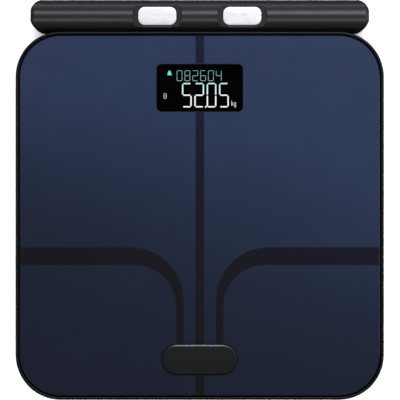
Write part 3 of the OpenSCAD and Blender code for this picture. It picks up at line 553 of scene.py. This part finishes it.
def make_reading(materials):
    """The lit weight, with its decimal point."""
    left = LCD.x - 13.9 * MM
    foot = LCD.y - 15.4 * MM
    point_x = left + 1.88 * DIGIT_PITCH
    point_r = 0.72 * MM
    reading = bmesh.new()
    for i, numeral in enumerate("5205"):
        add_digit(reading, numeral, left + i * DIGIT_PITCH, foot, DIGIT_W, DIGIT_H, DIGIT_STROKE)
    add_plate(reading, arc(point_x, foot, point_r, 0, 360, 16)[:-1], *LIT_Z)
    make_piece("display_reading", reading, materials["lit_reading"], "platform")


def make_small_row(materials):
    """The row of small numerals above the weight."""
    left = LCD.x - 18.5 * MM
    foot = LCD.y + 5.8 * MM
    row = bmesh.new()
    for i, numeral in enumerate("082604"):
        add_digit(row, numeral, left + i * SMALL_PITCH, foot, SMALL_W, SMALL_H, SMALL_STROKE)
    make_piece("display_small_row", row, materials["lit_row"], "platform")


def make_weight_sign(materials):
    """Small weight-shaped trapezoid at the top left."""
    x, y = LCD.x - 24.6 * MM, LCD.y + 12.1 * MM
    half = 1.75 * MM
    half_top = 0.45 * half
    outline = [
        (x - half, y - half), (x + half, y - half),
        (x + half_top, y + half), (x - half_top, y + half),
    ]
    sign = bmesh.new()
    add_plate(sign, outline, *LIT_Z)
    make_piece("display_weight_sign", sign, materials["lit_sign"], "platform")


def make_marks(materials):
    """The two joined rings at the left and the kilogram sign at the right."""
    x, y = LCD.x - 28.2 * MM, LCD.y - 6.6 * MM
    ring = 1.2 * MM
    sides = 8
    marks = bmesh.new()
    for offset in (-0.8 * ring, 0.8 * ring):
        corners = arc(x, y + offset, ring, 0, 360, sides)
        for start, end in zip(corners, corners[1:]):
            add_stroke(marks, start, end, MARK_STROKE, *LIT_Z, 3)
    add_unit(marks, LCD.x + 25.9 * MM, LCD.y - 14.4 * MM)
    make_piece("display_marks", marks, materials["lit_marks"], "platform")


def add_unit(shape, x, y):
    """The kilogram sign, whose first letter's foot is at (x, y)."""
    tall = 3.9 * MM
    wide = 1.25 * MM
    step = 2.1 * MM
    bowl = 0.62 * tall
    tail = -0.3 * tall
    lines = [
        ((0, 0), (0, tall)), ((0, 0.3 * tall), (wide, bowl)), ((0.35 * wide, 0.42 * tall), (wide, 0)),
        ((step, 0), (step + wide, 0)), ((step, bowl), (step + wide, bowl)), ((step, 0), (step, bowl)),
        ((step + wide, tail), (step + wide, bowl)), ((step, tail), (step + wide, tail)),
    ]
    for (x0, y0), (x1, y1) in lines:
        add_stroke(shape, (x + x0, y + y0), (x + x1, y + y1), UNIT_STROKE, *LIT_Z, 3)


def add_display_finishes(materials):
    """Finishes of the lit segments, which fade along Y as the backlight does."""
    materials["lit_reading"] = glow_finish(
        "lit_reading", LCD.y - 8 * MM, LCD.y + 4 * MM, (255, 255, 255), (176, 245, 238), 1.0)
    materials["lit_row"] = glow_finish(
        "lit_row", LCD.y + 6 * MM, LCD.y + 15 * MM, (170, 182, 182), (84, 186, 174), 0.9)
    materials["lit_sign"] = glow_finish(
        "lit_sign", LCD.y + 10 * MM, LCD.y + 15 * MM, (96, 240, 226), (80, 226, 212), 1.0)
    materials["lit_marks"] = glow_finish(
        "lit_marks", LCD.y - 16 * MM, LCD.y - 4 * MM, (236, 236, 236), (190, 192, 192), 1.0)
    # Painted highlight: colour a little paler than the film, standing in for light caught along the
    # window's edge
    materials["window_line"] = finish(
        "window_line", (40, 50, 76), (46, 56, 82), 0.01, (0.2, 0.3), 0.001, 0.001 * MM)


# ---------------------------------------------------------------- cap, plates, feet and lead


def make_cap(materials):
    """Raised contact cap with a sloped edge band and a softly rounded rim."""
    lo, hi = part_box("contact_cap")
    side = hi - lo
    slope_w = 1.1 * MM
    slope_h = 0.3 * MM
    blend_w, blend_h = 0.2 * MM, 0.01 * MM
    r = 0.3 * MM
    shape = bmesh.new()
    edge = [(inset, z - slope_h) for inset, z in round_over(r, 4, hi.z)]
    profile = [(0, lo.z), *edge, (slope_w, hi.z - blend_h), (slope_w + blend_w, hi.z)]
    add_slab(shape, (lo + hi) / 2, side.x, side.y, side.y / 2, profile, steps=32)
    cap = make_piece("contact_cap_cover", shape, materials["cap_plastic"], "platform", 50)
    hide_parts("contact_cap")
    return cap


def make_thumb_plates(materials):
    """Thumb plates with a bright rounded edge and a slight crown."""
    corner = 5.6 * MM
    crown = 0.06 * MM
    r = 0.5 * MM
    thick = 1.2 * MM
    flat = 0.3 * MM
    plates = []
    for side in ("left", "right"):
        node = "thumb_electrode_" + side
        lo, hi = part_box(node)
        width, depth = hi.x - lo.x, hi.y - lo.y
        edge = round_over(r, 6, hi.z - crown)
        dome = [
            (r + t * (corner - r - flat), hi.z - crown * (1 - t) ** 2)
            for t in (0.25, 0.5, 0.75, 1.0)
        ]
        shape = bmesh.new()
        profile = [(0, hi.z - thick), *edge, *dome]
        add_slab(shape, (lo + hi) / 2, width, depth, corner, profile)
        plate = make_piece(
            "thumb_plate_" + side, shape, materials["electrode_steel"], "handle", 60)
        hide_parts(node)
        plates.append(plate)
    return plates


def make_soles(materials):
    """Rubber soles with a rounded edge, two grip rings and a dished middle."""
    edge_r = 0.9 * MM
    depth = 0.5 * MM
    soft = 0.2 * MM
    grooves = [(11 * MM, 12.4 * MM), (6 * MM, 7.4 * MM)]
    soles = []
    for corner in ("front_left", "front_right", "rear_left", "rear_right"):
        node = "foot_pad_" + corner
        lo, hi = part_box(node)
        r = (hi.x - lo.x) / 2
        profile = [(r, hi.z)]
        profile += [(r - inset, lo.z + hi.z - z) for inset, z in round_over(edge_r, 6, hi.z)]
        for inner, outer in grooves:
            profile += [
                (outer + soft, lo.z), (outer, lo.z + soft), (outer - soft, lo.z + depth),
                (inner + soft, lo.z + depth), (inner, lo.z + soft), (inner - soft, lo.z),
            ]
        profile += [(3 * MM, lo.z), (2.6 * MM, lo.z + 0.3 * MM), (0.2 * MM, lo.z + 0.4 * MM)]
        shape = bmesh.new()
        add_lathe(shape, (lo + hi) / 2, profile)
        sole = make_piece("foot_sole_" + corner, shape, materials["foot_rubber"], "platform")
        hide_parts(node)
        soles.append(sole)
    return soles


def make_button(materials):
    """Unit button under the base, with a dished face and a rounded edge."""
    lo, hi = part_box("unit_button")
    r = 4.4 * MM
    stem_r = 1.9 * MM
    flange_r = (hi.x - lo.x) / 2
    flange_z = lo.z + 2.2 * MM
    flange_top = flange_z + 0.8 * MM
    profile = [
        (0.3 * MM, lo.z + 0.45 * MM), (2 * MM, lo.z + 0.35 * MM), (3.4 * MM, lo.z + 0.06 * MM),
        (3.8 * MM, lo.z), (4.2 * MM, lo.z + 0.1 * MM), (r, lo.z + 0.4 * MM), (r, flange_z),
        (flange_r, flange_z), (flange_r, flange_top), (stem_r, flange_top), (stem_r, hi.z),
    ]
    shape = bmesh.new()
    add_lathe(shape, (lo + hi) / 2, profile, 48)
    button = make_piece("unit_button_key", shape, materials["button_grey"], "button")
    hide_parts("unit_button")
    return button


def make_lead(materials):
    """The handle's lead, which is paid out as the handle leaves the dock."""
    lo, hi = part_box("handle_lead")
    centre = (lo + hi) / 2
    r = (hi.x - lo.x) / 2
    rings = 60
    section = arc(centre.x, centre.z, r, 0, 360, 20)[:-1]
    shape = bmesh.new()
    skin(shape, [[(x, lo.y + (hi.y - lo.y) * i / rings, z) for x, z in section] for i in range(rings + 1)])
    lead = make_piece("handle_lead_cord", shape, materials["lead_rubber"], None)
    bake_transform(lead)
    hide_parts("handle_lead")


# ---------------------------------------------------------------- the scene

make_camera()
SCENE.view_settings.view_transform = "Standard"
SCENE.view_settings.look = "None"

materials = make_materials()
add_display_finishes(materials)
dress_frame(materials)
floor = make_floor(materials["floor"])

make_window(materials)
make_reading(materials)
make_small_row(materials)
make_weight_sign(materials)
make_marks(materials)
cap = make_cap(materials)
thumb_plates = make_thumb_plates(materials)
soles = make_soles(materials)
button = make_button(materials)
make_lead(materials)

# Dim overhead, so that the glass stays dark seen from above, and paler towards the horizon
make_world([
    (-1.0, (0.30, 0.30, 0.31)), (-0.3, (0.10, 0.10, 0.11)), (0.05, (0.42, 0.44, 0.48)),
    (0.5, (0.36, 0.37, 0.40)), (0.85, (0.21, 0.21, 0.22)),
], 0.45)
glass_middle = (0, 0, GLASS_TOP)
bar = [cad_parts["handle_upper_shell"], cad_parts["handle_lower_shell"]]
bar_axis = (0, HANDLE.y, HANDLE.z)
make_panel("strip_behind", (0, 0.64, 1.05), bar_axis, 0.8, 0.2, 3.5)
make_panel("low_behind", (0, 2.2, 0.42), bar_axis, 3.2, 0.7, 11, (0.78, 0.87, 1.0), lights=bar)
make_panel("strip_bar", (0, -0.42, 1.3), bar_axis, 1.4, 0.3, 4.0, (0.95, 0.96, 1.0), lights=bar)
make_panel("low_right", (1.5, 0, 0.5), glass_middle, 0.6, 1.6, 5)
make_panel("soft_right", (0.45, 0.6, 0.95), glass_middle, 0.7, 0.7, 3, (0.88, 0.94, 1.0))
make_panel("over_plates", (0, HANDLE.y, 0.9), HANDLE, 1.6, 1.6, 3.4, lights=thumb_plates)
make_panel("cap_edge", (0, 0.47, 1.05), middle("contact_cap"), 0.2, 0.45, 3.5, lights=[cap])
make_panel("over_floor", (0, 0, 2.6), (0, 0, 0), 4, 4, 200, lights=[floor])

# Shows the underside once the floor is taken away
underside = [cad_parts[name] for name in (
    "base_tray", "base_screws", "battery_door", "handle_screws",
    "finger_electrode_left", "finger_electrode_right",
)]
underside += [*soles, button]
make_panel("under", (0.7, -1.3, -1.4), (0, 0, 0), 1.6, 1.6, 60, lights=underside)
